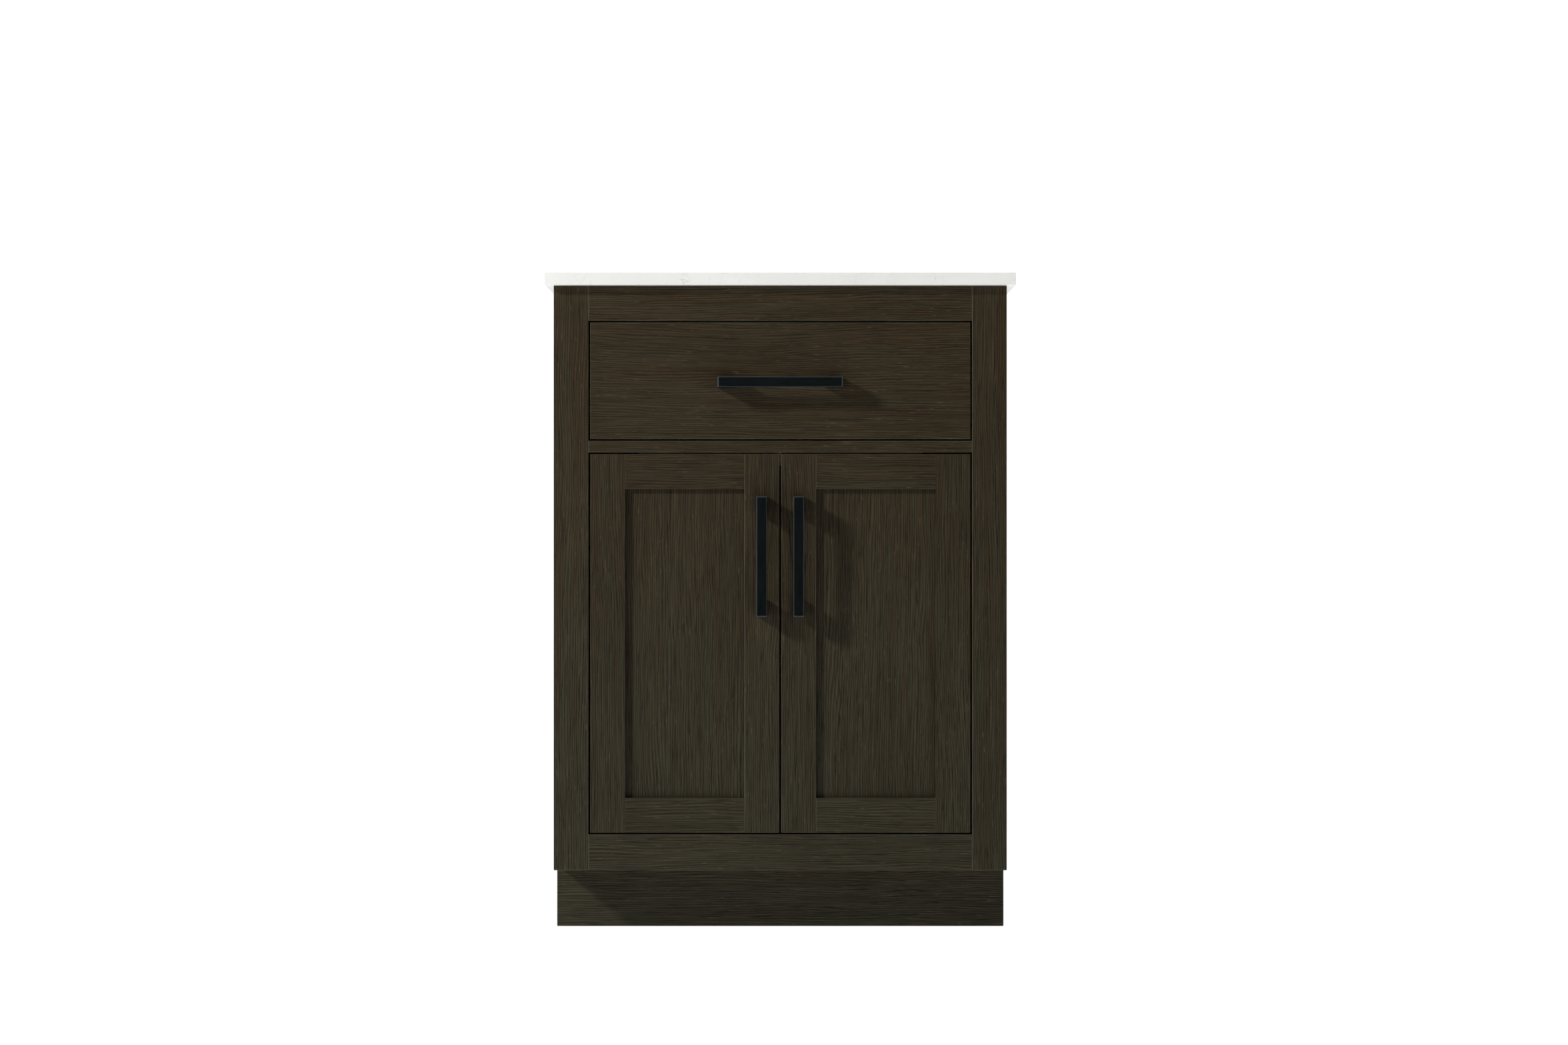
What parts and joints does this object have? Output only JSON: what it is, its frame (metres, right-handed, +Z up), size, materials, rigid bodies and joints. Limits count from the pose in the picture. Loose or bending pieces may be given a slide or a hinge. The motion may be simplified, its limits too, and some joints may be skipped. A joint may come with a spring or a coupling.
{
  "type": "bathroom vanity cabinet",
  "caption": "Single bathroom vanity: face-frame cabinet with an inset drawer, inset shaker doors, black bar pulls, a stone top and an undermount basin.",
  "frame": {"origin": "on the floor, at the middle of the overall width and depth, pulls included", "axes": "+Z up, front faces -Y, +X to the right seen from the front"},
  "size_m": [0.6096, 0.5774, 0.855],
  "materials": {
    "espresso_wood": "satin, dark espresso stain with fine straight grain",
    "birch_wood": "clear-coated birch plywood and solid birch",
    "quartz": "polished, white with fine grey veins",
    "ceramic": "gloss white glaze",
    "sealant": "matte silicone",
    "rubber": "matte",
    "zinc_steel": "zinc plated, lightly brushed",
    "black_metal": "satin black"
  },
  "bodies": {
    "cabinet": {"left_side_panel": "espresso_wood", "right_side_panel": "espresso_wood", "toe_kick_board": "espresso_wood", "left_frame_stile": "espresso_wood", "right_frame_stile": "espresso_wood", "top_frame_rail": "espresso_wood", "middle_frame_rail": "espresso_wood", "bottom_frame_rail": "espresso_wood", "bottom_panel": "birch_wood", "back_panel": "birch_wood", "wall_rail": "birch_wood", "toe_kick_support": "birch_wood", "corner_blocks": "birch_wood", "left_hinge_block": "birch_wood", "right_hinge_block": "birch_wood", "left_slide_spacer": "birch_wood", "right_slide_spacer": "birch_wood", "door_stop_rail": "birch_wood", "shelf": "birch_wood", "door_bumpers": "rubber", "basin_sealant": "sealant", "countertop": "quartz", "basin": "ceramic", "shelf_pins": "zinc_steel", "basin_clips": "zinc_steel", "left_hinge_plates": "zinc_steel", "right_hinge_plates": "zinc_steel", "left_hinge_arms": "zinc_steel", "right_hinge_arms": "zinc_steel", "left_slide_outer": "zinc_steel", "right_slide_outer": "zinc_steel"},
    "drawer": {"drawer_front": "espresso_wood", "drawer_left_side": "birch_wood", "drawer_right_side": "birch_wood", "drawer_back_pieces": "birch_wood", "drawer_notch_front": "birch_wood", "drawer_notch_sides": "birch_wood", "drawer_bottom": "birch_wood", "drawer_pull": "black_metal", "drawer_pull_screws": "zinc_steel", "left_slide_inner": "zinc_steel", "right_slide_inner": "zinc_steel"},
    "left_slide_carriage": {"left_slide_middle": "zinc_steel"},
    "right_slide_carriage": {"right_slide_middle": "zinc_steel"},
    "left_door": {"left_door_hinge_stile": "espresso_wood", "left_door_pull_stile": "espresso_wood", "left_door_top_rail": "espresso_wood", "left_door_bottom_rail": "espresso_wood", "left_door_panel": "espresso_wood", "left_door_pull": "black_metal", "left_door_pull_screws": "zinc_steel", "left_hinge_cups": "zinc_steel"},
    "right_door": {"right_door_hinge_stile": "espresso_wood", "right_door_pull_stile": "espresso_wood", "right_door_top_rail": "espresso_wood", "right_door_bottom_rail": "espresso_wood", "right_door_panel": "espresso_wood", "right_door_pull": "black_metal", "right_door_pull_screws": "zinc_steel", "right_hinge_cups": "zinc_steel"}
  },
  "joints": [
    {"name": "drawer_slide", "type": "slide", "parent": "cabinet", "child": "drawer", "axis": [0, -1, 0], "range_m": [0, 0.38]},
    {"name": "left_slide_extend", "type": "slide", "parent": "cabinet", "child": "left_slide_carriage", "axis": [0, -1, 0], "range_m": [0, 0.19]},
    {"name": "right_slide_extend", "type": "slide", "parent": "cabinet", "child": "right_slide_carriage", "axis": [0, -1, 0], "range_m": [0, 0.19]},
    {"name": "left_door_hinge", "type": "hinge", "parent": "cabinet", "child": "left_door", "pos_m": [-0.2208, -0.24545, 0.3749], "axis": [0, 0, -1], "range_deg": [0, 100]},
    {"name": "right_door_hinge", "type": "hinge", "parent": "cabinet", "child": "right_door", "pos_m": [0.2208, -0.24545, 0.3749], "axis": [0, 0, 1], "range_deg": [0, 100]}
  ],
  "couplings": [
    {"joint": "left_slide_extend", "follows": "drawer_slide", "ratio": 0.5},
    {"joint": "right_slide_extend", "follows": "drawer_slide", "ratio": 0.5}
  ]
}
